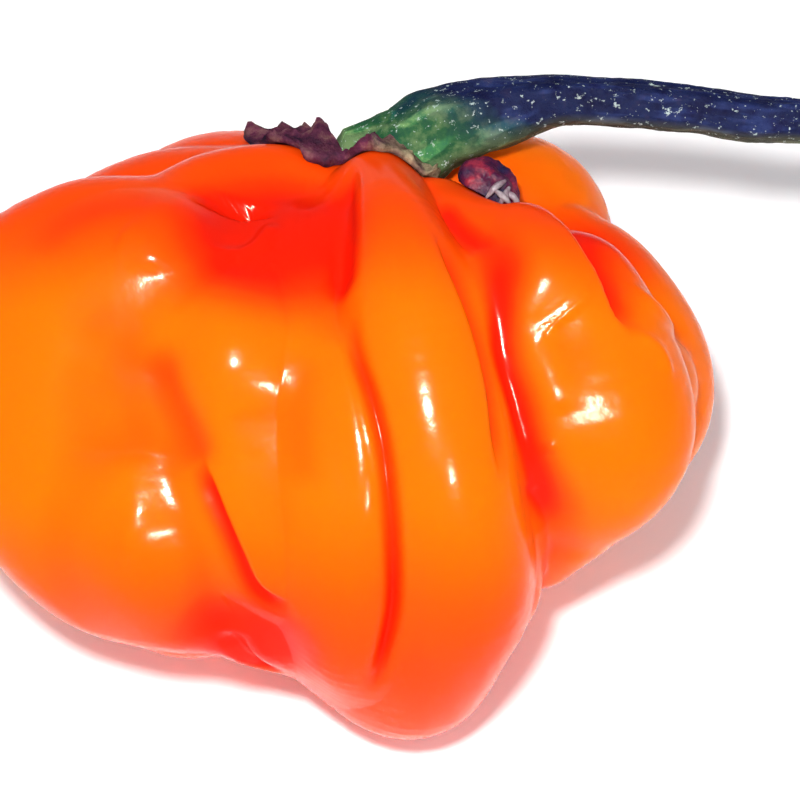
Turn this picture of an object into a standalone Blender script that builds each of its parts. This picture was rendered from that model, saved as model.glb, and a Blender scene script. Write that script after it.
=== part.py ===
"""Chilli pepper of the habanero kind: a squat, lobed, glossy orange pod that lies on its side.

Pieces: pod, calyx (the dry ring at its shoulder), stem (the fruit stalk) and withered_stub
(a shrivelled lobe beside the stem). They are shaped in the pod's own frame, in millimetres:
x to the right, y to the back, z along the pod's axis to the stem, origin inside the pod.
The pod is then tipped back by LEAN and set down on the floor, and everything goes to metres.
"""
import math

import bmesh
import bpy
import numpy as np
from mathutils import Matrix, Vector
from mathutils.bvhtree import BVHTree

MM = 0.001
LEAN = math.radians(58.0)      # from standing on its tip to lying on its back lobes
FLAT_DEPTH = 0.45              # mm that the lowest lobes give way where they rest
GAP = 0.35                     # mm between pieces that touch on the real pepper
STEM_GAP = 0.55                # mm under the stem's foot, whose facets span the calyx's folds

POD_SEGMENTS, POD_RINGS = 92, 46
CALYX_SEGMENTS, CALYX_RINGS = 44, 20
STEM_SEGMENTS, STEM_RINGS = 20, 52
STUB_SEGMENTS, STUB_RINGS = 20, 14

# The flesh behind the lobes: one ellipsoid, centre and half sizes.
CORE_CENTRE = (-0.5, 0.5, -0.5)
CORE_RADII = (15.5, 11.0, 13.0)

# Each lobe is a swept ball that runs from the shoulder (top) to the tip: how softly it blends
# into its neighbours, how much it pinches the crease beside it, and its x, y, z, radius points.
LOBES = {
    "back_left": (2.2, 1.0, [(-4.4, 5.5, 14.8, 4.2), (-9.6, 7.4, 12.5, 5.8), (-10.5, 11.0, 4.0, 6.6),
                             (-9.5, 11.3, -1.0, 7.0), (-6.5, 8.0, -7.5, 5.7)]),
    "back_middle": (2.0, 0.4, [(0.6, 4.4, 13.6, 3.0), (0.4, 8.4, 8.6, 4.6), (0.0, 9.8, 2.0, 5.0),
                               (0.2, 8.0, -5.0, 4.6)]),
    "back_right": (2.2, 1.0, [(5.4, 4.4, 14.4, 3.8), (10.2, 5.4, 13.2, 5.3), (10.4, 10.6, 6.4, 6.2),
                              (9.0, 11.5, -2.0, 6.4), (6.0, 8.0, -7.5, 5.6)]),
    "left_back": (2.2, 0.6, [(-6.6, 2.4, 14.2, 3.6), (-13.2, 4.2, 12.2, 5.0), (-17.4, 4.0, 6.3, 6.8),
                             (-18.2, 4.5, 0.0, 7.4), (-14.5, 3.5, -5.2, 7.2), (-10.0, 2.5, -8.2, 6.2)]),
    "right_back": (1.6, 0.8, [(13.2, 2.0, 11.3, 3.2), (15.5, 2.0, 8.1, 4.8), (16.4, 2.8, 3.2, 5.8),
                              (15.3, 4.0, -0.5, 5.2), (11.5, 5.0, -4.5, 4.4)]),
    "hollow": (3.0, 0.0, [(-0.5, -5.4, 9.0, 5.0), (-6.0, -4.6, 8.2, 6.0)]),
    "shoulder": (1.6, 0.2, [(-0.3, -1.5, 14.3, 2.2), (-4.3, -2.6, 15.3, 2.4), (-8.2, -4.2, 14.6, 2.6),
                            (-11.5, -6.0, 12.7, 3.0), (-15.8, -6.0, 12.1, 3.4), (-18.8, -5.0, 9.9, 4.4)]),
    "left": (1.8, 0.3, [(-11.3, -7.6, 9.1, 4.6), (-14.3, -7.6, 8.2, 5.8), (-16.5, -6.0, 4.9, 7.6),
                        (-16.7, -3.8, -0.5, 8.4), (-13.7, -1.8, -4.5, 8.4), (-10.4, -1.2, -6.1, 7.6)]),
    "left_rib": (3.0, 0.0, [(-11.8, -10.2, 2.5, 3.4), (-11.7, -9.8, -1.1, 3.8), (-11.2, -8.2, -5.3, 4.0),
                            (-10.2, -5.5, -9.1, 3.8)]),
    "lower_left": (1.6, 0.3, [(-5.5, -7.0, -8.7, 3.0), (-5.1, -4.4, -10.9, 3.6), (-3.8, 2.0, -11.5, 3.6)]),
    "front_left_a": (1.8, 0.5, [(-6.7, -11.0, 4.3, 3.4), (-6.5, -12.0, 1.3, 3.8), (-5.8, -12.5, -2.3, 3.9),
                                (-4.8, -12.2, -5.8, 3.6), (-3.7, -11.2, -7.8, 2.8)]),
    "front_left_b": (1.8, 0.8, [(-2.8, -11.0, 4.3, 3.4), (-0.9, -12.6, 1.3, 3.6), (-0.1, -13.0, -4.0, 3.7),
                                (0.0, -11.6, -8.2, 3.6), (0.7, -7.0, -11.8, 4.0), (1.2, 0.0, -12.5, 5.0)]),
    "front_right_rib": (0.8, 0.6, [(5.6, -5.0, 13.3, 2.2), (7.6, -8.0, 11.4, 2.2), (8.8, -8.2, 8.8, 1.8)]),
    "flank": (1.2, 0.3, [(8.2, -8.4, -1.1, 2.6), (8.2, -7.8, -5.4, 3.4), (8.0, -5.4, -9.1, 3.8)]),
    "right": (1.0, 0.8, [(9.3, -5.0, 12.2, 1.6), (12.0, -8.6, 8.1, 3.4), (13.9, -8.4, 5.5, 4.8),
                         (15.5, -6.6, 1.3, 6.0), (14.2, -3.0, -4.1, 4.2), (12.6, -0.5, -7.8, 2.6)]),
    "right_rim": (1.2, 0.2, [(10.5, -5.0, 11.7, 1.4), (12.9, -5.6, 9.4, 1.6), (15.4, -4.6, 6.2, 2.2),
                             (17.9, -3.2, 2.8, 3.6)]),
    "right_edge": (3.0, 0.0, [(11.5, -10.4, 7.9, 1.8), (11.5, -10.6, 4.3, 1.8), (12.8, -9.0, 0.1, 2.4)]),
    "front": (0.5, 1.2, [(1.7, -5.0, 14.6, 2.6), (2.9, -10.6, 11.4, 3.0), (3.7, -13.6, 6.0, 3.6),
                         (4.9, -14.6, 0.1, 3.7), (6.0, -13.2, -4.6, 4.3), (6.1, -9.0, -9.2, 5.0),
                         (4.0, -1.0, -13.4, 5.5), (3.4, 5.0, -14.1, 5.5)]),
}
PINCH_DEPTH, PINCH_WIDTH = 0.4, 0.9    # mm, at a pinch of 1
LEAST_BLEND = 1.6                      # mm, the tightest crease that the facets can follow

# Stem: x, y, z, radius points of its axis, from its foot on the calyx to the plain cut end.
STEM = [(2.4, -1.6, 16.7, 3.0), (3.6, -2.2, 17.8, 3.0), (5.3, -2.5, 18.6, 2.75), (7.5, -2.6, 19.3, 2.5),
        (9.9, -2.6, 19.8, 2.1), (12.1, -2.6, 20.3, 1.7), (14.4, -2.6, 20.4, 1.5), (18.5, -2.7, 20.1, 1.5),
        (21.6, -2.8, 19.8, 1.45), (24.8, -2.9, 19.3, 1.45), (27.9, -3.0, 19.1, 1.3), (31.0, -3.1, 18.5, 1.3),
        (33.8, -3.2, 17.8, 1.4)]
STEM_ANGLES = 5                # soft corners round the stem
STEM_CORNER = 0.06             # how far they stand out, as a share of the radius

# Calyx: a ragged skin over the pod's shoulder, round the direction CALYX_AXIS from the origin.
CALYX_AXIS = (0.02, -0.02, 1.0)
CALYX_REACH = math.radians(17.5)
CALYX_RIM, CALYX_CROWN = 0.40, 0.95    # mm thick at the rim and under the stem

# Withered stub: a folded knob beside the stem's foot.
STUB_CENTRE = (8.6, -5.3, 15.0)
STUB_AXIS = (0.78, 0.0, -0.62)
STUB_RADII = (2.15, 1.45, 1.35)        # mm along its axis, across and through


def clear_scene():
    for item in list(bpy.data.objects):
        bpy.data.objects.remove(item, do_unlink=True)


def smooth_path(points, steps=4):
    """Catmull-Rom curve through the points, each of any length."""
    given = np.array(points, float)
    ends = np.vstack([2 * given[0] - given[1], given, 2 * given[-1] - given[-2]])
    path = []
    for i in range(1, len(ends) - 2):
        a, b, c, d = ends[i - 1:i + 3]
        for s in np.arange(steps) / steps:
            path.append(0.5 * (2 * b + (c - a) * s + (2 * a - 5 * b + 4 * c - d) * s**2
                               + (3 * b - a - 3 * c + d) * s**3))
    path.append(given[-1])
    return np.array(path)


def swept_ball(points, path):
    """Signed distance from the points to a ball of changing radius swept along the path."""
    best = np.full(len(points), 1e9)
    for a, b in zip(path[:-1], path[1:]):
        along = b[:3] - a[:3]
        offset = points - a[:3]
        share = np.clip(offset @ along / (along @ along), 0.0, 1.0)
        away = np.linalg.norm(offset - share[:, None] * along, axis=1)
        best = np.minimum(best, away - (a[3] + share * (b[3] - a[3])))
    return best


def ellipsoid(points, centre, radii):
    scaled = (points - np.array(centre)) / np.array(radii)
    size = np.linalg.norm(scaled, axis=1)
    return size * (size - 1.0) / np.linalg.norm(scaled / np.array(radii), axis=1)


def blend(a, b, softness):
    """Smooth union of two distances."""
    near = np.maximum(softness - np.abs(a - b), 0.0) / softness
    return np.minimum(a, b) - near * near * softness * 0.25


def pod_radius(directions):
    """How far the pod's skin lies from the origin along each unit direction, in mm."""
    paths = [smooth_path(points) for _, _, points in LOBES.values()]
    softness = [max(row[0], LEAST_BLEND) for row in LOBES.values()]
    pinch = np.array([row[1] for row in LOBES.values()])
    reach = np.full(len(directions), 29.0)
    for _ in range(18):
        points = directions * reach[:, None]
        distance = ellipsoid(points, CORE_CENTRE, CORE_RADII)
        for path, soft in zip(paths, softness):
            distance = blend(distance, swept_ball(points, path), soft)
        reach = np.maximum(reach - 0.95 * distance, 3.0)
    points = directions * reach[:, None]
    near = np.array([swept_ball(points, path) for path in paths])
    order = np.argsort(near, axis=0)
    column = np.arange(len(reach))
    between = near[order[1], column] - near[order[0], column]
    tight = np.minimum(pinch[order[0]], pinch[order[1]])
    return reach - tight * PINCH_DEPTH * np.exp(-between / PINCH_WIDTH)


def unit(vectors):
    return vectors / np.linalg.norm(vectors, axis=-1, keepdims=True)


def sphere_grid(segments, rings):
    """A UV sphere, with each vertex's place on it: share from top to bottom, and angle round."""
    mesh = bmesh.new()
    bmesh.ops.create_uvsphere(mesh, u_segments=segments, v_segments=rings, radius=1.0)
    places = unit(np.array([vertex.co[:] for vertex in mesh.verts]))
    share = np.arccos(np.clip(places[:, 2], -1.0, 1.0)) / math.pi
    angle = np.arctan2(places[:, 1], places[:, 0])
    return mesh, places, share, angle


def set_points(mesh, points):
    for vertex, point in zip(mesh.verts, points):
        vertex.co = point
    if mesh.calc_volume(signed=True) < 0.0:
        bmesh.ops.reverse_faces(mesh, faces=mesh.faces)


class Skin:
    """The outermost surface of finished pieces, seen from the origin."""

    def __init__(self, *meshes):
        self.trees = [BVHTree.FromBMesh(mesh) for mesh in meshes]

    def radius(self, direction):
        far = Vector(direction) * 60.0
        hits = [tree.ray_cast(far, -far) for tree in self.trees]
        return max((hit[0].length for hit in hits if hit[0] is not None), default=0.0)

    def clear(self, points, gap=GAP):
        """The points, pushed outward until none is closer to the skin than the gap."""
        moved = []
        for point in points:
            direction = unit(point)
            reach = max(np.linalg.norm(point), self.radius(direction) + gap)
            for _ in range(8):
                place = Vector(direction * reach)
                near = min(tree.find_nearest(place)[3] for tree in self.trees)
                reach += max(gap - near, 0.0)
            moved.append(direction * reach)
        return np.array(moved)


def make_pod():
    mesh, places, _, _ = sphere_grid(POD_SEGMENTS, POD_RINGS)
    set_points(mesh, places * pod_radius(places)[:, None])
    return mesh


def make_calyx(pod):
    """Upper half of the sphere is the calyx's outside, lower half its underside."""
    mesh, _, share, angle = sphere_grid(CALYX_SEGMENTS, CALYX_RINGS)
    out = 1.0 - np.abs(1.0 - 2.0 * share)          # 0 at the middle, 1 at the rim
    ragged = 1.0 + 0.10 * np.sin(5 * angle + 0.6) + 0.06 * np.sin(9 * angle + 2.0) \
        + 0.16 * np.maximum(np.cos(angle - math.pi), 0.0)
    tilt = out * CALYX_REACH * ragged
    axis = unit(np.array(CALYX_AXIS))
    side = unit(np.cross((0.0, 1.0, 0.0), axis))
    back = np.cross(axis, side)
    flat = np.cos(angle)[:, None] * side + np.sin(angle)[:, None] * back
    directions = np.cos(tilt)[:, None] * axis + np.sin(tilt)[:, None] * flat
    height = CALYX_RIM + (CALYX_CROWN - CALYX_RIM) * (1.0 - out**2)
    height = height * (1.0 + 0.12 * np.sin(7 * angle + 4 * out) * out)
    height = np.where(share < 0.5 + 1e-6, height, 0.0)
    skin = Skin(pod)
    floor = np.linalg.norm(skin.clear(directions), axis=1)
    set_points(mesh, directions * (floor + height)[:, None])
    return mesh


def make_stem(pod, calyx):
    """Rings along the stem's axis, closed by a flat fan at each end."""
    mesh, _, share, angle = sphere_grid(STEM_SEGMENTS, STEM_RINGS)
    path = smooth_path(STEM, 6)
    length = np.concatenate([[0.0], np.cumsum(np.linalg.norm(np.diff(path[:, :3], axis=0), axis=1))])
    length /= length[-1]
    along = np.clip((share * STEM_RINGS - 1.0) / (STEM_RINGS - 2.0), 0.0, 1.0)
    row = np.stack([np.interp(along, length, path[:, k]) for k in range(4)], axis=1)
    ahead = np.stack([np.interp(along + 0.01, length, path[:, k]) for k in range(3)], axis=1)
    behind = np.stack([np.interp(along - 0.01, length, path[:, k]) for k in range(3)], axis=1)
    tangent = unit(ahead - behind)
    across = unit(np.cross(tangent, (0.0, 1.0, 0.0)))
    through = np.cross(tangent, across)
    corner = 1.0 + STEM_CORNER * np.cos(STEM_ANGLES * angle + 1.5 * along)
    radius = row[:, 3] * corner
    ends = (share < 0.5 / STEM_RINGS) | (share > 1.0 - 0.5 / STEM_RINGS)
    radius = np.where(ends, 0.0, radius)
    points = row[:, :3] + radius[:, None] * (np.cos(angle)[:, None] * across
                                             + np.sin(angle)[:, None] * through)
    set_points(mesh, Skin(pod, calyx).clear(points, STEM_GAP))
    return mesh


def make_stub(pod, calyx):
    """A knob with lengthwise folds and a pinched, turned-down end."""
    mesh, places, _, _ = sphere_grid(STUB_SEGMENTS, STUB_RINGS)
    axis = unit(np.array(STUB_AXIS))
    across = unit(np.cross(axis, (0.0, 1.0, 0.0)))
    through = np.cross(axis, across)
    along = places[:, 2]
    angle = np.arctan2(places[:, 1], places[:, 0])
    fold = 1.0 + 0.13 * np.cos(5 * angle + 0.8) * (1.0 - along**2) - 0.18 * np.maximum(along, 0.0)**2
    long_, wide, deep = STUB_RADII
    points = (np.array(STUB_CENTRE) + (along * long_)[:, None] * axis
              + (places[:, 0] * fold * wide)[:, None] * across
              + (places[:, 1] * fold * deep)[:, None] * through)
    set_points(mesh, Skin(pod, calyx).clear(points))
    return mesh


def set_down(meshes):
    """Tip the pieces back by LEAN and rest the lowest lobes, slightly flattened, on z = 0.

    The origin ends under the middle of the whole pepper.
    """
    lean = Matrix.Rotation(-LEAN, 4, "X")
    for mesh in meshes:
        bmesh.ops.transform(mesh, matrix=lean, verts=mesh.verts)
    points = np.array([vertex.co[:] for mesh in meshes for vertex in mesh.verts])
    low, high = points.min(axis=0), points.max(axis=0)
    shift = (-(low[0] + high[0]) / 2, -(low[1] + high[1]) / 2, -(low[2] + FLAT_DEPTH))
    for mesh in meshes:
        bmesh.ops.transform(mesh, matrix=Matrix.Translation(shift), verts=mesh.verts)
        for vertex in mesh.verts:
            vertex.co.z = max(vertex.co.z, 0.0)
        bmesh.ops.scale(mesh, vec=(MM, MM, MM), verts=mesh.verts)


def make_material(name, colour, roughness, coat=0.0):
    material = bpy.data.materials.new(name)
    material.use_nodes = True
    surface = material.node_tree.nodes["Principled BSDF"]
    surface.inputs["Base Color"].default_value = (*colour, 1.0)
    surface.inputs["Roughness"].default_value = roughness
    surface.inputs["Coat Weight"].default_value = coat
    material.diffuse_color = (*colour, 1.0)
    return material


def add_object(name, mesh, material, collection):
    data = bpy.data.meshes.new(name)
    mesh.to_mesh(data)
    mesh.free()
    data.materials.append(material)
    data.shade_smooth()
    collection.objects.link(bpy.data.objects.new(name, data))


def main():
    clear_scene()
    collection = bpy.data.collections.new("chilli_pepper")
    bpy.context.scene.collection.children.link(collection)
    pod = make_pod()
    calyx = make_calyx(pod)
    stem = make_stem(pod, calyx)
    stub = make_stub(pod, calyx)
    set_down([pod, calyx, stem, stub])
    add_object("pod", pod, make_material("orange_skin", (0.90, 0.13, 0.01), 0.18, 0.6), collection)
    add_object("calyx", calyx, make_material("dry_calyx", (0.22, 0.13, 0.11), 0.75), collection)
    add_object("stem", stem, make_material("green_stem", (0.07, 0.16, 0.10), 0.55), collection)
    add_object("withered_stub", stub, make_material("withered_purple", (0.08, 0.02, 0.04), 0.6), collection)


main()
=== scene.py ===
"""The looks of the chilli pepper: skin folds, calyx wrinkles, stem and stub, built round the frame.

Shapes are made in the pod's own frame, in millimetres: x to the right, y to the back, z along the
pod's axis to the stem, origin inside the pod. seat() then lays them down where the frame has them.
"""
import math

import bmesh
import bpy
import numpy as np
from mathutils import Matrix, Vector, noise
from mathutils.bvhtree import BVHTree


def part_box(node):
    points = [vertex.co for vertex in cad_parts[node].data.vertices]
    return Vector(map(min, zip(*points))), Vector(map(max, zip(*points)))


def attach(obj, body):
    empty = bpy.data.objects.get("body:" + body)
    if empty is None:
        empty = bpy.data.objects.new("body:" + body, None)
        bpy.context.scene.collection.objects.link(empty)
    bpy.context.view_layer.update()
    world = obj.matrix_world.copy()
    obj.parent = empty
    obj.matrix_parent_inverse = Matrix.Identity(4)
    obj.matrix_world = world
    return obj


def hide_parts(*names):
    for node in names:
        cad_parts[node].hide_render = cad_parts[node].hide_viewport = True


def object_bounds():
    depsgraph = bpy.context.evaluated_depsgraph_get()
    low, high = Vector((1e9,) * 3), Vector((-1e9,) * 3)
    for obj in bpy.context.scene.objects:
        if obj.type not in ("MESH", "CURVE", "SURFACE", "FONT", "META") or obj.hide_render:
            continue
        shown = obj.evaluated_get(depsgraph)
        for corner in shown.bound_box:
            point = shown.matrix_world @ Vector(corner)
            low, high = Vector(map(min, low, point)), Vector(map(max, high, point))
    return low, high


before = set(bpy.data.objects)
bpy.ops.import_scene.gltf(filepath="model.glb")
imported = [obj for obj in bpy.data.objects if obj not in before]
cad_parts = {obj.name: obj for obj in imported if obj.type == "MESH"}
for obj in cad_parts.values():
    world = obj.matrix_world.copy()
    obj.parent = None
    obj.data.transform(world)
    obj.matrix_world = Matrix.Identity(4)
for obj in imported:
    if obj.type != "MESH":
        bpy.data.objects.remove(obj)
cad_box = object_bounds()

MM = 0.001
LEAN = math.radians(58.0)      # from standing on its tip to lying on its back lobes
FLAT_DEPTH = 0.45              # mm that the lowest lobes give way where they rest
GAP = 0.12                     # mm between the skin and what grows on it

POD_SEGMENTS, POD_RINGS = 432, 222
FRONT_DENSITY = 0.45           # how much closer the pod's columns stand at the front
CALYX_SEGMENTS, CALYX_RINGS = 180, 60
STEM_SEGMENTS, STEM_RINGS = 72, 300
STUB_SEGMENTS, STUB_RINGS = 90, 60

CORE_CENTRE = (-0.5, 0.5, -0.5)
CORE_RADII = (15.5, 11.0, 13.0)

# Lobes of the pod, from the shoulder to the tip: blend, pinch, and x, y, z, radius points.
LOBES = {
    "back_left": (2.2, 1.0, [(-4.4, 5.5, 14.8, 4.2), (-9.6, 7.4, 12.5, 5.8), (-10.5, 11.0, 4.0, 6.6),
                             (-9.5, 11.3, -1.0, 7.0), (-6.5, 8.0, -7.5, 5.7)]),
    "back_middle": (2.0, 0.4, [(0.6, 4.4, 13.6, 3.0), (0.4, 8.4, 8.6, 4.6), (0.0, 9.8, 2.0, 5.0),
                               (0.2, 8.0, -5.0, 4.6)]),
    "back_right": (2.2, 1.0, [(5.4, 4.4, 14.4, 3.8), (10.8, 5.4, 13.1, 5.4), (10.4, 10.6, 6.4, 6.2),
                              (9.0, 11.5, -2.0, 6.4), (6.0, 8.0, -7.5, 5.6)]),
    "left_back": (2.2, 0.6, [(-6.6, 2.4, 14.2, 3.6), (-13.2, 4.2, 12.2, 5.0), (-17.4, 4.0, 6.3, 6.8),
                             (-18.2, 4.5, 0.0, 7.4), (-14.5, 3.5, -5.2, 7.2), (-10.0, 2.5, -8.2, 6.2)]),
    "right_back": (1.6, 0.8, [(13.2, 2.0, 11.3, 3.2), (15.5, 2.0, 8.0, 4.6), (16.8, 2.2, 2.9, 6.1),
                              (15.8, 3.6, -0.2, 5.3), (11.5, 5.0, -4.5, 4.4)]),
    "hollow": (4.0, 0.0, [(-0.5, -5.4, 9.0, 5.0), (-6.0, -4.6, 8.2, 6.0)]),
    "shoulder": (2.6, 0.2, [(-0.3, -1.5, 14.3, 2.2), (-4.3, -2.6, 15.3, 2.4), (-8.2, -4.2, 14.6, 2.6),
                            (-11.5, -6.0, 12.7, 3.0), (-15.8, -6.0, 12.1, 3.4), (-18.8, -5.0, 9.9, 4.4)]),
    "left": (1.8, 0.3, [(-11.6, -8.6, 9.8, 4.6), (-14.3, -7.6, 8.8, 5.5), (-16.5, -5.2, 5.2, 7.5),
                        (-16.7, -3.5, -0.5, 8.3), (-13.7, -1.8, -4.5, 8.4), (-10.4, -1.2, -6.1, 7.6)]),
    "left_rib": (3.0, 0.0, [(-11.5, -9.6, 5.5, 3.4), (-11.8, -9.2, 2.0, 3.6), (-11.8, -8.3, -1.5, 3.7),
                            (-12.0, -8.7, -6.3, 4.2), (-10.2, -5.5, -9.1, 3.8)]),
    "lower_left": (2.4, 0.2, [(-5.5, -7.0, -8.7, 3.0), (-5.1, -4.4, -10.9, 3.6), (-3.8, 2.0, -11.5, 3.6)]),
    "front_left_a": (3.2, 0.2, [(-6.3, -8.4, 7.2, 3.0), (-6.7, -12.0, 4.6, 3.7), (-6.5, -11.4, 1.3, 3.8),
                                (-5.8, -10.9, -2.3, 3.9), (-4.8, -10.5, -5.8, 3.7),
                                (-3.7, -10.0, -7.8, 3.0)]),
    "front_left_b": (2.6, 0.2, [(-2.8, -8.6, 7.6, 3.0), (-2.8, -11.0, 4.3, 3.4), (-0.9, -12.6, 1.3, 3.6),
                                (-0.1, -13.0, -4.0, 3.7), (0.0, -11.6, -8.2, 3.6), (0.7, -7.0, -11.8, 4.0),
                                (1.2, 0.0, -12.5, 5.0)]),
    "front_right_rib": (0.8, 0.6, [(5.6, -5.0, 13.3, 2.2), (7.6, -8.0, 11.4, 2.2), (8.9, -7.8, 8.6, 1.7),
                                   (9.6, -7.0, 5.0, 1.2)]),
    "flank": (1.2, 0.3, [(8.2, -8.4, -1.1, 2.6), (8.2, -7.8, -5.4, 3.4), (8.0, -5.4, -9.1, 3.8)]),
    "right": (2.8, 0.2, [(9.3, -5.0, 12.2, 1.6), (11.8, -9.2, 9.4, 3.6), (13.6, -8.4, 6.9, 4.8),
                         (15.5, -6.6, 0.4, 5.7), (13.9, -3.0, -3.9, 4.0), (12.2, -0.5, -7.4, 2.2)]),
    "right_rim": (1.2, 0.2, [(10.5, -5.0, 11.7, 1.4), (12.9, -5.6, 9.4, 1.6), (15.4, -4.6, 6.2, 2.2),
                             (17.9, -3.2, 2.8, 3.6)]),
    "right_edge": (3.4, 0.0, [(10.4, -8.6, 11.0, 1.5), (10.2, -10.5, 8.3, 2.3), (10.1, -10.8, 4.6, 2.6),
                              (11.1, -9.8, 0.4, 2.8)]),
    "front": (2.0, 0.4, [(1.7, -5.0, 14.6, 2.6), (2.9, -10.6, 11.4, 3.0), (4.0, -13.2, 6.0, 4.1),
                         (5.1, -13.9, 0.1, 4.5), (5.9, -13.0, -4.6, 4.5), (6.1, -9.0, -9.2, 5.0),
                         (4.0, -1.0, -13.4, 5.5), (3.4, 5.0, -14.1, 5.5)]),
}
PINCH_DEPTH, PINCH_WIDTH = 0.7, 0.7    # mm, at a pinch of 1
FARTHEST, NEAREST = 29.0, 3.0          # mm from the origin that the search for the skin starts and ends
CLOSE_ENOUGH = 0.004                   # mm off the skin at which the search stops

# Folds pressed into the lobes: height (below 0 for a groove), painted shade (redder, darker groove floor),
# width to the left and right facing along the path as seen from outside, then the path over the skin. All in
# mm but the painted shade.
FOLDS = {
    "groove_a_top": (-0.5, 0.30, 1.4, 1.4, [(-11.7, -13.1, 5.5), (-10.3, -13.8, 1.3), (-9.0, -14.7, -2.8)]),
    "groove_a": (-0.6, 0.80, 0.30, 0.8, [(-9.6, -14.3, -1.2), (-8.9, -14.7, -3.0), (-8.2, -14.8, -5.1),
                                         (-7.5, -14.6, -6.7), (-6.8, -14.1, -8.1), (-5.8, -12.8, -9.5),
                                         (-4.7, -12.4, -10.2), (-3.2, -12.9, -10.4)]),
    "groove_b_top": (-1.2, 0.30, 0.35, 1.1, [(0.1, -6.5, 16.1), (0.2, -12.1, 11.5), (0.2, -14.2, 7.8)]),
    "groove_b": (-0.9, 0.42, 0.35, 0.55, [(0.2, -13.8, 8.4), (0.6, -15.5, 4.8), (1.5, -16.6, 2.2),
                                        (2.2, -17.0, -0.5), (2.6, -16.3, -4.0), (2.8, -14.8, -7.6),
                                        (2.7, -12.9, -10.7), (2.0, -10.3, -14.0), (1.2, -7.0, -16.0)]),
    "inner_groove": (-0.12, 0.15, 1.3, 1.3, [(-2.6, -14.5, 5.1), (-2.7, -16.0, -1.1), (-2.1, -16.2, -4.0)]),
    "left_arch": (-0.03, 0.15, 1.2, 1.2, [(-17.9, -13.5, 4.9), (-16.4, -13.7, 6.5), (-14.8, -13.6, 7.0),
                                          (-13.4, -13.4, 6.1), (-13.7, -13.7, 3.7), (-13.0, -13.6, -0.4),
                                          (-11.7, -13.6, -1.4)]),
    "left_band": (-0.05, 0.15, 1.5, 1.5, [(-19.1, -11.6, 10.2), (-17.4, -10.8, 12.2), (-15.0, -10.7, 13.1),
                                          (-12.0, -10.3, 13.2), (-10.2, -9.1, 13.7)]),
    "rib_right": (-0.8, 0.35, 1.0, 0.35, [(5.0, -13.0, 12.3), (6.2, -14.2, 9.3), (7.2, -14.8, 6.3),
                                          (8.0, -15.2, 2.8), (8.6, -16.0, -0.5), (9.2, -16.2, -3.4)]),
    "small_rib": (-0.5, 0.40, 0.3, 0.6, [(5.8, -8.1, 13.9), (6.5, -9.5, 12.6), (7.4, -10.3, 10.9),
                                         (7.8, -9.9, 8.5)]),
    "right_valley": (-0.45, 0.85, 0.8, 0.8, [(7.6, -9.8, 12.0), (7.8, -10.7, 9.0), (7.8, -11.6, 4.3),
                                            (8.3, -10.9, 1.3), (9.6, -10.9, -1.1), (10.8, -9.4, -3.6),
                                            (11.8, -7.0, -5.5)]),
    "right_crease": (-1.3, 0.80, 1.8, 0.3, [(8.5, -8.8, 13.3), (10.4, -7.2, 12.7), (12.2, -9.4, 12.1),
                                            (13.7, -11.4, 10.8), (15.0, -12.1, 9.4), (16.0, -12.4, 8.0),
                                            (16.8, -12.5, 6.8), (17.8, -12.5, 5.3)]),
    "notch": (-0.8, 0.50, 1.0, 0.4, [(-7.4, -8.2, -11.8), (-7.0, -6.6, -13.2), (-6.2, -4.6, -14.4),
                                     (-5.0, -2.2, -15.4)]),
    "left_crest": (0.4, 0.0, 1.3, 1.3, [(-13.6, -12.2, 11.6), (-12.2, -12.4, 10.9), (-11.0, -12.3, 9.8),
                                        (-9.9, -11.8, 8.3)]),
    "left_rib_crest": (0.35, 0.0, 1.0, 1.0, [(-13.9, -13.4, -0.5), (-13.0, -13.2, -2.9), (-12.3, -12.6, -5.0),
                                             (-11.9, -11.4, -7.7)]),
    "front_crest": (0.35, 0.0, 1.2, 1.0, [(-1.1, -13.5, 6.1), (-0.1, -15.6, 3.1), (0.6, -16.4, -0.5),
                                          (1.0, -16.5, -4.0), (1.2, -15.7, -7.6)]),
    "right_crest": (0.3, 0.0, 1.4, 1.2, [(9.7, -11.0, 10.2), (11.2, -12.7, 9.2), (12.7, -13.1, 8.3),
                                         (13.9, -13.1, 7.3), (15.1, -13.2, 5.5)]),
    "right_side_crest": (0.3, 0.0, 1.2, 0.8, [(10.4, -12.9, 6.1), (10.7, -12.9, 4.3), (11.2, -12.8, 2.8),
                                              (12.0, -12.5, 0.7)]),
    "ridge_upper": (0.3, 0.0, 0.5, 0.5, [(14.8, -11.4, 9.7), (17.0, -10.7, 8.4), (19.2, -8.6, 7.0),
                                         (21.0, -5.0, 5.6)]),
    "ridge_lower": (0.3, 0.0, 0.5, 0.5, [(15.8, -12.5, 7.1), (17.5, -12.1, 5.8), (19.0, -11.3, 4.8),
                                         (19.7, -11.1, 2.8)]),
    "wrinkle_upper": (0.3, 0.0, 0.3, 0.3, [(8.2, -7.4, 4.8), (9.0, -11.0, 4.5)]),
    "wrinkle_lower": (0.3, 0.0, 0.3, 0.3, [(10.0, -10.9, -0.5), (10.9, -11.1, -1.3)]),
    "dimple": (-1.3, 0.15, 1.3, 1.3, [(-6.9, -7.1, 13.8), (-6.8, -7.8, 13.2), (-6.7, -8.5, 12.7)]),
    "dimple_rim": (0.4, 0.0, 0.5, 0.5, [(-8.6, -11.2, 10.2), (-6.6, -10.4, 9.8), (-5.2, -10.0, 10.8),
                                          (-4.4, -8.6, 12.7)]),
}
FOLD_TAPER = 0.22              # share of a fold's length over which each end dies away
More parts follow.
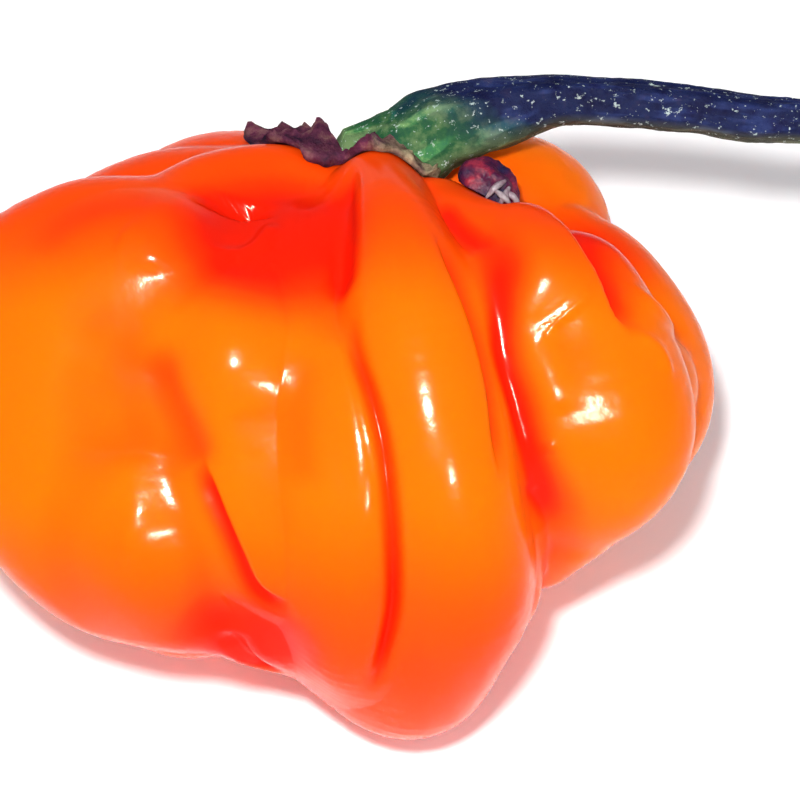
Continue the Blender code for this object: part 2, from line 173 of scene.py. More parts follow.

# Painted shade: how much redder and darker the skin is coloured in hollows, towards the crown and the tip,
# and in soft patches, standing in for the shade that falls there.
HOLLOW_SHADE, CROWN_SHADE, TIP_SHADE = 0.7, 0.5, 0.55
HOLLOW_DEPTH = 1.1             # mm below the skin around it that makes a hollow fully red
WIDE_PASSES, NARROW_PASSES = 60, 6     # smoothing of the skin that hollows are measured between
# The soft patches are painted shade in the dent, on the underside and in the hollow behind the right crease:
# strength, centre, and reach along x, y and z.
SHADE_PATCHES = {                # redness, centre, and how far it reaches along x, y and z
    "dent": (0.8, (-4.7, -9.8, 10.7), (6.0, 6.0, 4.8)),
    "under": (0.5, (-6.0, -8.0, -12.5), (4.5, 6.0, 3.2)),
    "behind": (0.6, (14.2, -4.5, 11.2), (6.5, 6.0, 3.3)),
}

# Stem: x, y, z, radius points of its axis, from its foot on the calyx to the plain cut end.
STEM = [(-0.6, -3.0, 17.6, 1.0), (1.4, -2.4, 17.2, 2.3), (3.4, -2.4, 17.3, 2.75),
        (5.3, -2.5, 18.5, 2.65), (7.5, -2.6, 19.2, 2.45),
        (9.9, -2.6, 19.8, 2.1), (12.1, -2.6, 20.3, 1.7), (14.4, -2.6, 20.4, 1.5), (18.5, -2.7, 20.1, 1.5),
        (21.6, -2.8, 19.8, 1.45), (24.8, -2.9, 19.3, 1.45), (27.9, -3.0, 19.1, 1.3), (31.0, -3.1, 18.5, 1.3),
        (34.15, -3.2, 17.7, 1.4)]
STEM_ANGLES = 5                # soft corners round the stem
STEM_CORNER = 0.06             # how far they stand out, as a share of the radius
STEM_FOOT, FOOT_RADIUS = (2.4, -1.6), 3.0    # where it meets the calyx: x, y, and how wide
STEM_GAP = -0.35               # the foot sits a little into the calyx

# Calyx: a ragged skin over the pod's shoulder, round the direction CALYX_AXIS from the origin.
CALYX_AXIS = (0.02, -0.02, 1.0)
CALYX_REACH = math.radians(17.5)
CALYX_RIM, CALYX_CROWN = 0.40, 0.95    # mm thick at the rim and under the stem
CALYX_DISTANCE = 17.0          # mm from the origin, where its crumples are measured
RIM_WAVES = ((0.10, 5, 0.6), (0.06, 9, 2.0))              # height, waves round the rim, phase
RIM_FLAPS = ((-0.30, -2.2, 0.5), (0.28, -0.75, 0.45))     # reach, where round the rim, how wide
RIM_LEFT, RIM_TEETH = 0.16, 0.035                         # longer to the left, and finely toothed
COLLAR_HEIGHT = 1.3            # mm that the calyx stands up round the foot of the stem

# Withered stub: a folded knob beside the stem's foot.
STUB_CENTRE = (8.6, -5.3, 15.0)
STUB_AXIS = (0.78, 0.0, -0.62)
STUB_RADII = (2.15, 1.45, 1.35)        # mm along its axis, across and through

# Torn fibres over the stub's lower end: x, y, z points of each strand.
FIBRES = [
    [(9.6, -6.8, 15.3), (8.9, -7.2, 14.8), (8.3, -6.9, 14.1)],
    [(9.8, -6.9, 14.9), (9.5, -7.3, 14.3), (9.1, -7.0, 13.6)],
    [(9.4, -7.0, 14.5), (10.0, -7.2, 14.3), (10.6, -6.9, 13.5)],
    [(8.9, -7.2, 14.7), (9.5, -7.4, 14.2), (9.9, -7.1, 13.8)],
]
FIBRE_RADIUS = 0.13            # mm
FIBRE_WIDE, FIBRE_FLAT = 1.6, 0.7      # its width and thickness, in radii
FIBRE_SIDES = 8

# Camera: level with the picture's middle, looking square at the pod's front.
CAMERA_AIM = (3.125, 0.0, 1.875)
CAMERA_DISTANCE = 300.0        # mm
FIELD = 50.0                   # mm seen across at that distance
FLOOR_REACH = 3.0              # m from the middle to each edge

# Lights: m towards the camera, up and to the right of the camera's aim, size in m, power in W, and
# whether each lights the surfaces and shows in their gloss.
LIGHTS = {
    "key": (0.28, 0.034, -0.014, 0.021, 0.76, True, False),
    "glint": (0.28, 0.034, -0.014, 0.030, 12.0, False, True),
    "low_glint": (0.26, -0.075, 0.085, 0.024, 4.0, False, True),
}
WORLD_COLOUR, WORLD_STRENGTH = (0.93, 0.96, 1.0, 1.0), 0.53


def unit(vectors):
    return vectors / np.linalg.norm(vectors, axis=-1, keepdims=True)


def smooth_path(points, steps=4):
    """Catmull-Rom curve through the points, each of any length."""
    given = np.array(points, np.float32)
    ends = np.vstack([2 * given[0] - given[1], given, 2 * given[-1] - given[-2]])
    path = []
    for i in range(1, len(ends) - 2):
        a, b, c, d = ends[i - 1:i + 3]
        for s in np.arange(steps) / steps:
            path.append(0.5 * (2 * b + (c - a) * s + (2 * a - 5 * b + 4 * c - d) * s**2
                               + (3 * b - a - 3 * c + d) * s**3))
    path.append(given[-1])
    return np.array(path, np.float32)


def swept_ball(points, path, margin=4.0):
    """Signed distance from the points to a ball swept along the path; far ones are only "far"."""
    best = np.full(len(points), 50.0, np.float32)
    room = path[:, 3].max() + margin
    low, high = path[:, :3].min(axis=0) - room, path[:, :3].max(axis=0) + room
    close = np.all((points > low) & (points < high), axis=1)
    near = points[close]
    least = best[close]
    for a, b in zip(path[:-1], path[1:]):
        along = b[:3] - a[:3]
        offset = near - a[:3]
        share = np.clip(offset @ along / (along @ along), 0.0, 1.0)
        away = np.linalg.norm(offset - share[:, None] * along, axis=1)
        least = np.minimum(least, away - (a[3] + share * (b[3] - a[3])))
    best[close] = least
    return best


def ellipsoid(points, centre, radii):
    scaled = (points - np.array(centre, np.float32)) / np.array(radii, np.float32)
    size = np.linalg.norm(scaled, axis=1)
    return size * (size - 1.0) / np.linalg.norm(scaled / np.array(radii, np.float32), axis=1)


def blend(a, b, softness):
    near = np.maximum(softness - np.abs(a - b), 0.0) / softness
    return np.minimum(a, b) - near * near * softness * 0.25


def lobed_distance(points, paths):
    distance = ellipsoid(points, CORE_CENTRE, CORE_RADII)
    for path, (softness, _, _) in zip(paths, LOBES.values()):
        distance = blend(distance, swept_ball(points, path), softness)
    return distance


def settle(directions, reach, rounds=60):
    """Walks along each direction to the smooth union of the core and the lobes."""
    paths = [smooth_path(points, 8) for _, _, points in LOBES.values()]
    reach = reach.copy()
    moving = np.arange(len(reach))
    for _ in range(rounds):
        distance = lobed_distance(directions[moving] * reach[moving, None], paths)
        reach[moving] = np.maximum(reach[moving] - 0.95 * distance, NEAREST)
        moving = moving[np.abs(distance) > CLOSE_ENOUGH]
        if not len(moving):
            break
    return reach, np.array([swept_ball(directions * reach[:, None], path) for path in paths])


def on_sphere(share, angle):
    polar = share * math.pi
    return np.stack([np.sin(polar) * np.cos(angle), np.sin(polar) * np.sin(angle), np.cos(polar)], axis=-1)


def base_radius(share, angle):
    """The lobed pod's radius, found on a coarse grid first and then finely from there."""
    rings, columns = 60, 120
    grid_share, grid_angle = np.meshgrid(np.arange(rings + 1) / rings,
                                         np.arange(columns) * 2 * math.pi / columns, indexing="ij")
    coarse = on_sphere(grid_share.ravel(), grid_angle.ravel()).astype(np.float32)
    start, _ = settle(coarse, np.full(len(coarse), FARTHEST, np.float32))
    start = start.reshape(rings + 1, columns)
    row = share * rings
    column = (angle % (2 * math.pi)) / (2 * math.pi) * columns
    top, left = np.minimum(row.astype(int), rings - 1), column.astype(int) % columns
    down, across = row - top, column - np.floor(column)
    right = (left + 1) % columns
    guess = (start[top, left] * (1 - down) * (1 - across) + start[top + 1, left] * down * (1 - across)
             + start[top, right] * (1 - down) * across + start[top + 1, right] * down * across)
    directions = on_sphere(share, angle).astype(np.float32)
    reach, near = settle(directions, (guess + 0.2).astype(np.float32))
    pinch = np.array([row[1] for row in LOBES.values()], np.float32)
    order = np.argsort(near, axis=0)
    place = np.arange(len(reach))
    between = near[order[1], place] - near[order[0], place]
    tight = np.minimum(pinch[order[0]], pinch[order[1]])
    return reach - tight * PINCH_DEPTH * np.exp(-between / PINCH_WIDTH)


def fold_share(directions, reach, left, right, points):
    """How fully one fold works along each direction; left and right as seen facing along it."""
    path = unit(smooth_path(points))
    step = np.linalg.norm(np.diff(path, axis=0), axis=1)
    start = np.concatenate([[0.0], np.cumsum(step)])
    room = 3.0 * max(left, right) / 14.0
    close = np.all((directions > path.min(axis=0) - room) & (directions < path.max(axis=0) + room), axis=1)
    near = directions[close]
    away = np.full(len(near), 9.0)
    side = np.zeros(len(near))
    place = np.zeros(len(near))
    for i, (a, b) in enumerate(zip(path[:-1], path[1:])):
        along = b - a
        share = np.clip((near - a) @ along / (along @ along), 0.0, 1.0)
        offset = near - (a + share[:, None] * along)
        far = np.linalg.norm(offset, axis=1)
        turn = np.einsum("ij,ij->i", np.cross(along, offset), near)
        better = far < away
        away = np.where(better, far, away)
        side = np.where(better, turn, side)
        place = np.where(better, (start[i] + share * step[i]) / start[-1], place)
    width = np.where(side > 0.0, left, right)
    ends = np.clip(np.minimum(place, 1.0 - place) / FOLD_TAPER, 0.0, 1.0)
    full = np.zeros(len(directions))
    full[close] = ends**2 * (3 - 2 * ends) * np.exp(-(away * reach[close] / width)**2)
    return full


def sphere_grid(segments, rings):
    """A UV sphere's mesh, and each vertex's place: share from top to bottom, and angle round."""
    build = bmesh.new()
    bmesh.ops.create_uvsphere(build, u_segments=segments, v_segments=rings, radius=1.0)
    mesh = bpy.data.meshes.new("grid")
    build.to_mesh(mesh)
    build.free()
    places = np.empty(len(mesh.vertices) * 3, np.float32)
    mesh.vertices.foreach_get("co", places)
    places = unit(places.reshape(-1, 3).astype(float))
    share = np.arccos(np.clip(places[:, 2], -1.0, 1.0)) / math.pi
    share = np.round(share * rings) / rings
    angle = np.arctan2(places[:, 1], places[:, 0])
    return mesh, share, angle


def smooth_step(low, high, value):
    share = np.clip((value - low) / (high - low), 0.0, 1.0)
    return share * share * (3 - 2 * share)


def add_attribute(mesh, name, values):
    mesh.attributes.new(name, "FLOAT", "POINT").data.foreach_set("value", values.astype(np.float32))


def blurred(values, share, angle, segments, rings, passes):
    """The values smoothed over the grid of rings and columns."""
    row = np.clip(np.round(share * rings).astype(int), 0, rings)
    column = np.round(angle / (2 * math.pi) * segments).astype(int) % segments
    grid = np.zeros((rings + 1, segments))
    grid[row, column] = values
    grid[0], grid[-1] = values[row == 0][0], values[row == rings][0]
    for _ in range(passes):
        grid = (np.roll(grid, 1, axis=1) + 2 * grid + np.roll(grid, -1, axis=1)) / 4
        grid[1:-1] = (grid[:-2] + 2 * grid[1:-1] + grid[2:]) / 4
    return grid[row, column]


def eased(reach, share, angle, columns):
    """Where the skin stands almost edge-on to the rows and columns, a smoother radius."""
    soft = blurred(reach, share, columns, POD_SEGMENTS, POD_RINGS, 4)
    row = 2 * math.pi / POD_SEGMENTS * reach * np.sin(np.maximum(share, 0.01) * math.pi)
    drop = np.abs(reach - blurred(reach, share, columns, POD_SEGMENTS, POD_RINGS, 1)) / row
    steep = blurred(smooth_step(0.15, 0.6, drop), share, columns, POD_SEGMENTS, POD_RINGS, 4)
    return reach + np.clip(2.0 * steep, 0.0, 1.0) * (soft - reach)


def shade_patch(points, centre, reach):
    return np.exp(-np.sum(((points - centre) / reach)**2, axis=1)**2)


def make_pod():
    """The lobed pod with its folds; its columns stand closer together at the front."""
    mesh, share, column = sphere_grid(POD_SEGMENTS, POD_RINGS)
    front = -math.pi / 2
    angle = column - FRONT_DENSITY * np.sin(column - front)
    reach = eased(base_radius(share, angle), share, angle, column)
    directions = on_sphere(share, angle)
    groove_shade = np.zeros(len(reach))
    for height, shade_strength, left, right, path in FOLDS.values():
        full = fold_share(directions, reach, left, right, path)
        reach = reach + height * full
        groove_shade = np.maximum(groove_shade, shade_strength * full)
    points = directions * reach[:, None]
    # Painted shade: the skin's colour is made redder and darker in hollows and groove floors, towards the
    # crown and the tip, and in soft patches, standing in for shade.
    wide = blurred(reach, share, column, POD_SEGMENTS, POD_RINGS, WIDE_PASSES)
    narrow = blurred(reach, share, column, POD_SEGMENTS, POD_RINGS, NARROW_PASSES)
    hollow = np.clip((wide - narrow) / HOLLOW_DEPTH, 0.0, 1.0)
    back_right = smooth_step(1.0, 12.0, points[:, 0]) * smooth_step(-4.0, 3.0, points[:, 1])
    crown = smooth_step(6.5, 14.0, points[:, 2]) * (1.0 - back_right)
    tip = smooth_step(-3.0, -15.0, points[:, 2])
    painted_shade = HOLLOW_SHADE * hollow + groove_shade + CROWN_SHADE * crown + TIP_SHADE * tip
    for strength, centre, patch_reach in SHADE_PATCHES.values():
        painted_shade = painted_shade + strength * shade_patch(points, centre, patch_reach)
    add_attribute(mesh, "painted_shade", np.clip(painted_shade, 0.0, 1.0))
    return mesh, points


class Skin:
    """The outermost surface of finished meshes, seen from the origin."""

    def __init__(self, *meshes):
        self.trees = []
        for mesh, points in meshes:
            faces = [tuple(face.vertices) for face in mesh.polygons]
            self.trees.append(BVHTree.FromPolygons(points.tolist(), faces))

    def radius(self, direction):
        far = Vector(direction) * 60.0
        hits = [tree.ray_cast(far, -far) for tree in self.trees]
        return max((hit[0].length for hit in hits if hit[0] is not None), default=0.0)

    def reach(self, directions):
        return np.array([self.radius(direction) for direction in directions])

    def clear(self, points, gap=GAP):
        """The points, pushed outward until none is closer to the skin than the gap."""
        directions = unit(points)
        size = np.maximum(np.linalg.norm(points, axis=1), self.reach(directions) + gap)
        return directions * size[:, None]


def wrinkle(points, size, seed, octaves=3):
    """Smooth noise from -1 to 1 at each point, its lumps about size mm across."""
    shift = Vector((3.1 * seed, 7.7 * seed, 1.3 * seed))
    return np.array([noise.fractal(Vector(point) / size + shift, 0.7, 2.0, octaves) for point in points])


def make_calyx(pod):
    """A ragged, crumpled skin over the shoulder: upper half outside, lower half underside."""
    mesh, share, angle = sphere_grid(CALYX_SEGMENTS, CALYX_RINGS)
    out = 1.0 - np.abs(1.0 - 2.0 * share)          # 0 at the middle, 1 at the rim
    ragged = 1.0 + RIM_LEFT * np.maximum(np.cos(angle - math.pi), 0.0)
    ragged = ragged + RIM_TEETH * np.sin(23 * angle) * np.sin(4 * angle + 1.0)
    for height, waves, phase in RIM_WAVES:
        ragged = ragged + height * np.sin(waves * angle + phase)
    for flap, place, width in RIM_FLAPS:
        ragged = ragged + flap * np.exp(-((angle - place) / width)**2)
    tilt = out * CALYX_REACH * ragged
    axis = unit(np.array(CALYX_AXIS))
    side = unit(np.cross((0.0, 1.0, 0.0), axis))
    back = np.cross(axis, side)
    flat = np.cos(angle)[:, None] * side + np.sin(angle)[:, None] * back
    directions = np.cos(tilt)[:, None] * axis + np.sin(tilt)[:, None] * flat
    floor = Skin(pod).reach(directions) + GAP
    far = directions * CALYX_DISTANCE
    height = CALYX_RIM + (CALYX_CROWN - CALYX_RIM) * (1.0 - out**2)
    crumple = wrinkle(far, 1.6, 1) * 0.55 + np.abs(wrinkle(far, 0.8, 2)) * 0.35
    height = height * (1.0 + 0.12 * np.sin(7 * angle + 4 * out) * out) + crumple * smooth_step(0.0, 0.5, out)
    aside = np.linalg.norm(far[:, :2] - STEM_FOOT, axis=1)
    collar = np.exp(-((aside - FOOT_RADIUS - 0.7) / 0.9)**2) * smooth_step(-0.3, -2.0, far[:, 0])
    height = height + COLLAR_HEIGHT * collar * (1.0 + 0.5 * crumple)
    height = np.where(share < 0.5 + 1e-6, np.maximum(height, 0.12), 0.0)
    points = directions * (floor + height)[:, None]
    add_attribute(mesh, "dried", out * (0.75 + 0.5 * np.exp(-((angle + 0.9) / 0.6)**2)))
    add_attribute(mesh, "crumple", crumple)
    return mesh, points


def make_stem(pod, calyx):
    """Rings along the stem's axis, closed by a flat fan at each end."""
    mesh, share, angle = sphere_grid(STEM_SEGMENTS, STEM_RINGS)
    path = smooth_path(STEM, 6).astype(float)
    length = np.concatenate([[0.0], np.cumsum(np.linalg.norm(np.diff(path[:, :3], axis=0), axis=1))])
    length /= length[-1]
    along = np.clip((share * STEM_RINGS - 1.0) / (STEM_RINGS - 2.0), 0.0, 1.0)
    row = np.stack([np.interp(along, length, path[:, k]) for k in range(4)], axis=1)
    ahead = np.stack([np.interp(along + 0.02, length, path[:, k]) for k in range(3)], axis=1)
    behind = np.stack([np.interp(along - 0.02, length, path[:, k]) for k in range(3)], axis=1)
    tangent = unit(ahead - behind)
    across = unit(np.cross(tangent, (0.0, 1.0, 0.0)))
    through = np.cross(tangent, across)
    round_ = np.cos(angle)[:, None] * across + np.sin(angle)[:, None] * through
    corner = 1.0 + STEM_CORNER * np.cos(STEM_ANGLES * angle + 1.5 * along)
    # Lengthwise wrinkles: noise drawn out along the stem.
    drawn = np.stack([np.cos(angle) * 2.2, np.sin(angle) * 2.2, along * 9.0], axis=1)
    lines = wrinkle(drawn, 1.0, 3, 4)
    lumps = wrinkle(row[:, :3] + round_ * 2.0, 2.6, 4, 2)
    radius = row[:, 3] * corner * (1.0 + 0.045 * lumps) + 0.10 * lines
    ends = (share < 0.5 / STEM_RINGS) | (share > 1.0 - 0.5 / STEM_RINGS)
    radius = np.where(ends, 0.0, radius)
    points = row[:, :3] + radius[:, None] * round_
    add_attribute(mesh, "along", along)
    add_attribute(mesh, "upper", round_[:, 2])
    add_attribute(mesh, "lines", lines)
    return mesh, Skin(pod, calyx).clear(points, STEM_GAP)


def make_stub(pod, calyx):
    """A shrivelled knob with lengthwise folds and a torn, turned-down end."""
    mesh, share, angle = sphere_grid(STUB_SEGMENTS, STUB_RINGS)
    places = on_sphere(share, angle)
    axis = unit(np.array(STUB_AXIS))
    across = unit(np.cross(axis, (0.0, 1.0, 0.0)))
    through = np.cross(axis, across)
    along = places[:, 2]
    fold = 1.0 + 0.13 * np.cos(5 * angle + 0.8) * (1.0 - along**2) - 0.18 * np.maximum(along, 0.0)**2
    fold = fold * (1.0 + 0.10 * wrinkle(places * 2.0, 0.8, 5))
    long_, wide, deep = STUB_RADII
    points = (np.array(STUB_CENTRE) + (along * long_)[:, None] * axis
              + (places[:, 0] * fold * wide)[:, None] * across
              + (places[:, 1] * fold * deep)[:, None] * through)
    return mesh, Skin(pod, calyx).clear(points)


def make_fibres():
    """Torn strands at the stub's lower end, each a thin tapered tube."""
    build = bmesh.new()
    for strand in FIBRES:
        path = smooth_path(strand, 8).astype(float)
        rings = []
        for i, point in enumerate(path):
            share = i / (len(path) - 1)
            tangent = unit(path[min(i + 1, len(path) - 1)] - path[max(i - 1, 0)])
            across = unit(np.cross(tangent, (0.0, 1.0, 0.0)))
            out = np.cross(across, tangent)
            radius = FIBRE_RADIUS * math.sin(math.pi * (0.12 + 0.84 * share))
            rings.append([build.verts.new(point + radius * (FIBRE_WIDE * math.cos(turn) * across
                                                            + FIBRE_FLAT * math.sin(turn) * out))
                          for turn in np.arange(FIBRE_SIDES) * 2 * math.pi / FIBRE_SIDES])
        for low, high in zip(rings[:-1], rings[1:]):
            for k in range(FIBRE_SIDES):
                following = (k + 1) % FIBRE_SIDES
                build.faces.new((low[k], low[following], high[following], high[k]))
        build.faces.new(rings[0])
        build.faces.new(reversed(rings[-1]))
    bmesh.ops.recalc_face_normals(build, faces=build.faces)
    mesh = bpy.data.meshes.new("fibres")
    build.to_mesh(mesh)
    points = np.array([vertex.co[:] for vertex in build.verts])
    build.free()
    return mesh, points


def laid_down(points):
    """From the pod's own frame to the floor, still in mm and not yet shifted."""
    cos, sin = math.cos(LEAN), math.sin(LEAN)
    return np.stack([points[:, 0], cos * points[:, 1] + sin * points[:, 2],
                     -sin * points[:, 1] + cos * points[:, 2]], axis=1)


def find_shift(pod_points):
    """Where the frame has the pod's origin: its box sits in the middle of the CAD pod's."""
    low, high = (np.array(corner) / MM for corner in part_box("pod"))
    laid = laid_down(pod_points)
    middle = (low + high) / 2 - (laid.min(axis=0) + laid.max(axis=0)) / 2
    return np.array([middle[0], middle[1], -laid[:, 2].min() - FLAT_DEPTH])


def placed(points, shift):
    """From the pod's own frame to the frame's metres."""
    return (laid_down(points) + shift) * MM


def seat(points, shift):
    """placed(), held inside the CAD model's box."""
    return np.clip(placed(points, shift), cad_box[0], cad_box[1])


def add_piece(name, mesh, points, shift, material, node, slot):
    mesh.name = name
    mesh.vertices.foreach_set("co", seat(points, shift).astype(np.float32).ravel())
    mesh.update()
    mesh.shade_smooth()
    mesh.materials.append(material)
    piece = bpy.data.objects.new(name, mesh)
    bpy.context.scene.collection.objects.link(piece)
    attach(piece, "root")
    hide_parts(node)


class Shader:
    """A Principled material with a few helpers for its nodes."""

    def __init__(self, name):
        self.material = bpy.data.materials.new(name)
        self.material.use_nodes = True
        self.nodes = self.material.node_tree.nodes
        self.links = self.material.node_tree.links
        self.surface = self.nodes["Principled BSDF"]
        self.place = self.nodes.new("ShaderNodeTexCoord").outputs["Object"]

    def set(self, **values):
        for name, value in values.items():
            self.surface.inputs[name.replace("_", " ")].default_value = value

    def link(self, output, name):
        self.links.new(output, self.surface.inputs[name])

    def attribute(self, name):
        node = self.nodes.new("ShaderNodeAttribute")
        node.attribute_name = name
        return node.outputs["Fac"]

    def noise(self, size, detail=4.0, roughness=0.55):
        """Noise whose blotches are about size mm across."""
        node = self.nodes.new("ShaderNodeTexNoise")
        node.inputs["Scale"].default_value = 1.0 / (size * MM)
        node.inputs["Detail"].default_value = detail
        node.inputs["Roughness"].default_value = roughness
        self.links.new(self.place, node.inputs["Vector"])
        return node.outputs["Fac"]

    def ramp(self, value, *stops):
        node = self.nodes.new("ShaderNodeValToRGB")
        ramp = node.color_ramp
        while len(ramp.elements) < len(stops):
            ramp.elements.new(0.5)
        for element, (position, colour) in zip(ramp.elements, stops):
            element.position = position
            element.color = (*(colour if isinstance(colour, tuple) else (colour,) * 3), 1.0)
        self.links.new(value, node.inputs["Fac"])
        return node.outputs["Color"]

    def math(self, operation, a, b):
        node = self.nodes.new("ShaderNodeMath")
        node.operation = operation
        for slot, value in zip(node.inputs, (a, b)):
            if isinstance(value, (int, float)):
                slot.default_value = value
            else:
                self.links.new(value, slot)
        return node.outputs["Value"]

    def mix(self, factor, a, b, kind="MIX"):
        node = self.nodes.new("ShaderNodeMix")
        node.data_type = "RGBA"
        node.blend_type = kind
        for slot, value in ((node.inputs["Factor"], factor), (node.inputs[6], a), (node.inputs[7], b)):
            if isinstance(value, tuple):
                slot.default_value = (*value, 1.0)
            elif isinstance(value, (int, float)):
                slot.default_value = value
            else:
                self.links.new(value, slot)
        return node.outputs[2]

    def bump(self, height, depth, under=None):
        """Bumps depth mm high for heights from 0 to 1, on top of those under them."""
        node = self.nodes.new("ShaderNodeBump")
        node.inputs["Distance"].default_value = depth * MM
        self.links.new(height, node.inputs["Height"])
        if under:
            self.links.new(under, node.inputs["Normal"])
        return node.outputs["Normal"]


def skin_material():
    skin = Shader("orange_skin")
    # Painted shade: the attribute made in make_pod turns the orange towards a darker red; the soft noise
    # patches are the skin's own uneven tone.
    patches = skin.math("MULTIPLY", skin.math("SUBTRACT", skin.noise(9.0, 1.0), 0.5), 0.10)
    shade_and_mottle = skin.math("ADD", skin.attribute("painted_shade"), patches)
    colour = skin.ramp(shade_and_mottle, (0.0, (0.93, 0.155, 0.002)), (0.35, (0.92, 0.085, 0.002)),
                       (0.7, (0.90, 0.036, 0.002)), (1.0, (0.80, 0.012, 0.002)))
    skin.link(colour, "Base Color")
    skin.link(skin.ramp(skin.noise(1.2), (0.3, 0.14), (0.7, 0.21)), "Roughness")
    waxy = skin.bump(skin.noise(2.2, 2.0), 0.05)
    skin.link(skin.bump(skin.noise(0.35, 2.0), 0.007, waxy), "Normal")
    skin.set(IOR=1.10, Specular_Tint=(1.0, 0.75, 0.60, 1.0), Subsurface_Weight=0.12,
             Subsurface_Scale=1.6 * MM, Subsurface_Radius=(1.0, 0.35, 0.10))
    return skin.material


def calyx_material():
    dry = Shader("dry_calyx")
    purple = dry.ramp(dry.noise(1.4, 5.0, 0.65), (0.35, (0.025, 0.008, 0.030)), (0.52, (0.13, 0.025, 0.060)),
                      (0.68, (0.24, 0.10, 0.10)))
    tan = dry.ramp(dry.noise(0.7, 5.0, 0.7), (0.35, (0.13, 0.075, 0.045)), (0.60, (0.46, 0.37, 0.22)))
    edge = dry.math("MULTIPLY", dry.attribute("dried"), dry.math("ADD", dry.noise(2.6, 3.0), 0.18))
    colour = dry.mix(dry.ramp(edge, (0.0, 0.0), (0.60, 0.0), (0.78, 1.0)), purple, tan)
    # Painted shade: the colour is darkened in the low parts of the crumples and left full on their tops.
    lit = dry.ramp(dry.math("ADD", dry.attribute("crumple"), 0.5), (0.25, (0.45, 0.45, 0.45)),
                   (0.85, (1.0, 1.0, 1.0)))
    dry.link(dry.mix(1.0, colour, lit, "MULTIPLY"), "Base Color")
    dry.link(dry.ramp(dry.noise(0.8), (0.3, 0.55), (0.7, 0.8)), "Roughness")
    dry.set(IOR=1.08)
    dry.link(dry.bump(dry.noise(0.5, 4.0, 0.7), 0.25), "Normal")
    return dry.material


def stem_material():
    stem = Shader("green_stem")
    along, upper = stem.attribute("along"), stem.attribute("upper")
    green = stem.ramp(stem.noise(2.2, 5.0, 0.6), (0.34, (0.008, 0.085, 0.065)),
                      (0.48, (0.045, 0.20, 0.065)), (0.60, (0.26, 0.44, 0.16)))
    navy = stem.ramp(stem.noise(1.5, 5.0, 0.6), (0.35, (0.008, 0.010, 0.065)), (0.58, (0.018, 0.030, 0.12)),
                     (0.75, (0.05, 0.04, 0.11)))
    reach = stem.math("ADD", stem.math("MULTIPLY", along, 2.5), stem.math("MULTIPLY", upper, 0.22))
    reach = stem.math("ADD", reach, stem.math("MULTIPLY", stem.noise(4.0, 3.0), 0.4))
    colour = stem.mix(stem.ramp(reach, (0.0, 0.0), (0.64, 0.0), (0.96, 1.0)), green, navy)
    under = stem.ramp(stem.math("MULTIPLY", upper, -1.0), (0.55, 0.0), (0.9, 0.7))
    colour = stem.mix(under, colour, (0.16, 0.17, 0.075))
    # Painted shade and light: the colour is darkened in the grooves of the lengthwise wrinkles and lightened
    # on their ridges.
    wrinkle_shade = stem.ramp(stem.attribute("lines"), (0.10, (0.55, 0.55, 0.60)), (0.45, (1.15, 1.15, 1.10)))
    colour = stem.mix(1.0, colour, wrinkle_shade, "MULTIPLY")
    # Painted highlights: pale specks over the stem stand in for glints off its fine bumps.
    painted_glint = stem.ramp(stem.noise(0.4, 3.0, 0.7), (0.615, 0.0), (0.68, 0.85))
    colour = stem.mix(painted_glint, colour, (0.55, 0.66, 0.62))
    stem.link(colour, "Base Color")
    stem.link(stem.ramp(stem.noise(0.9), (0.3, 0.30), (0.7, 0.55)), "Roughness")
    stem.link(stem.bump(stem.noise(0.7, 5.0, 0.7), 0.35), "Normal")
    stem.set(IOR=1.07)
    return stem.material


def stub_material():
    stub = Shader("withered_purple")
    colour = stub.ramp(stub.noise(1.3, 4.0, 0.6), (0.34, (0.015, 0.010, 0.045)), (0.52, (0.10, 0.010, 0.040)),
                       (0.70, (0.40, 0.03, 0.05)))
    stub.link(colour, "Base Color")
    stub.link(stub.ramp(stub.noise(0.7), (0.3, 0.30), (0.7, 0.5)), "Roughness")
    stub.set(IOR=1.11)
    stub.link(stub.bump(stub.noise(0.5, 4.0, 0.7), 0.18), "Normal")
    return stub.material


def fibre_material():
    fibre = Shader("pale_fibre")
    colour = fibre.ramp(fibre.noise(0.6), (0.35, (0.20, 0.12, 0.15)), (0.65, (0.36, 0.32, 0.33)))
    fibre.link(colour, "Base Color")
    fibre.link(fibre.ramp(fibre.noise(0.4), (0.3, 0.35), (0.7, 0.55)), "Roughness")
    fibre.set(IOR=1.16)
    fibre.link(fibre.bump(fibre.noise(0.25), 0.08), "Normal")
    return fibre.material


def add_light(name, place, aim, size, power, diffuse, glossy):
    data = bpy.data.lights.new(name, "AREA")
    data.shape = "DISK"
    data.size = size
    data.energy = power
    lamp = bpy.data.objects.new(name, data)
    lamp.location = place
    lamp.rotation_euler = (Vector(aim) - Vector(place)).to_track_quat("-Z", "Y").to_euler()
    lamp.visible_diffuse = diffuse
    lamp.visible_glossy = glossy
    bpy.context.scene.collection.objects.link(lamp)


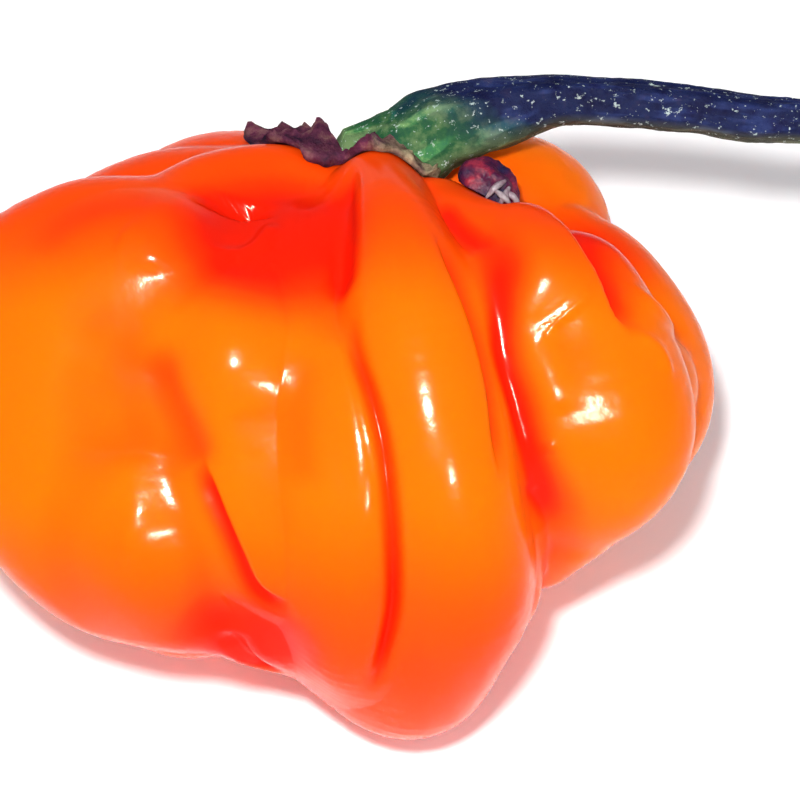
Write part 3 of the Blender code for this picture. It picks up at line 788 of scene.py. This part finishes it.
def add_stage(shift):
    """The floor, the soft studio light and the camera, all aimed square at the pod's front."""
    aim = Vector(placed(np.array([CAMERA_AIM]), shift)[0])
    toward = Vector((0.0, -math.cos(LEAN), math.sin(LEAN)))
    upward = Vector((0.0, math.sin(LEAN), math.cos(LEAN)))
    sideways = Vector((1.0, 0.0, 0.0))

    build = bmesh.new()
    bmesh.ops.create_grid(build, x_segments=2, y_segments=2, size=FLOOR_REACH)
    mesh = bpy.data.meshes.new("floor")
    build.to_mesh(mesh)
    build.free()
    floor = bpy.data.objects.new("floor", mesh)
    bpy.context.scene.collection.objects.link(floor)
    paper = Shader("white_paper")
    white = paper.ramp(paper.noise(30.0), (0.3, (0.90, 0.90, 0.90)), (0.7, (0.93, 0.93, 0.93)))
    paper.link(white, "Base Color")
    paper.set(Roughness=0.8, Emission_Color=(0.92, 0.95, 1.0, 1.0), Emission_Strength=0.03)
    mesh.materials.append(paper.material)

    for name, (near, above, aside, *lamp) in LIGHTS.items():
        add_light(name, aim + toward * near + upward * above + sideways * aside, aim, *lamp)
    world = bpy.data.worlds.new("studio")
    world.use_nodes = True
    backdrop = world.node_tree.nodes["Background"].inputs
    backdrop["Color"].default_value = WORLD_COLOUR
    backdrop["Strength"].default_value = WORLD_STRENGTH
    bpy.context.scene.world = world

    data = bpy.data.cameras.new("camera")
    data.sensor_width = 36.0
    data.lens = data.sensor_width * CAMERA_DISTANCE / FIELD
    data.clip_start = 0.01
    camera = bpy.data.objects.new("camera", data)
    camera.location = aim + toward * CAMERA_DISTANCE * MM
    camera.rotation_euler = (-toward).to_track_quat("-Z", "Y").to_euler()
    bpy.context.scene.collection.objects.link(camera)
    bpy.context.scene.camera = camera
    bpy.context.scene.view_settings.view_transform = "Standard"


pod = make_pod()
calyx = make_calyx(pod)
stem = make_stem(pod, calyx)
stub = make_stub(pod, calyx)
shift = find_shift(pod[1])
add_piece("pod_skin", *pod, shift, skin_material(), "pod", "orange_skin")
add_piece("calyx_skin", *calyx, shift, calyx_material(), "calyx", "dry_calyx")
add_piece("stem_bark", *stem, shift, stem_material(), "stem", "green_stem")
add_piece("stub_knob", *stub, shift, stub_material(), "withered_stub", "withered_purple")
add_piece("stub_fibres", *make_fibres(), shift, fibre_material(), "withered_stub", "withered_purple")
add_stage(shift)
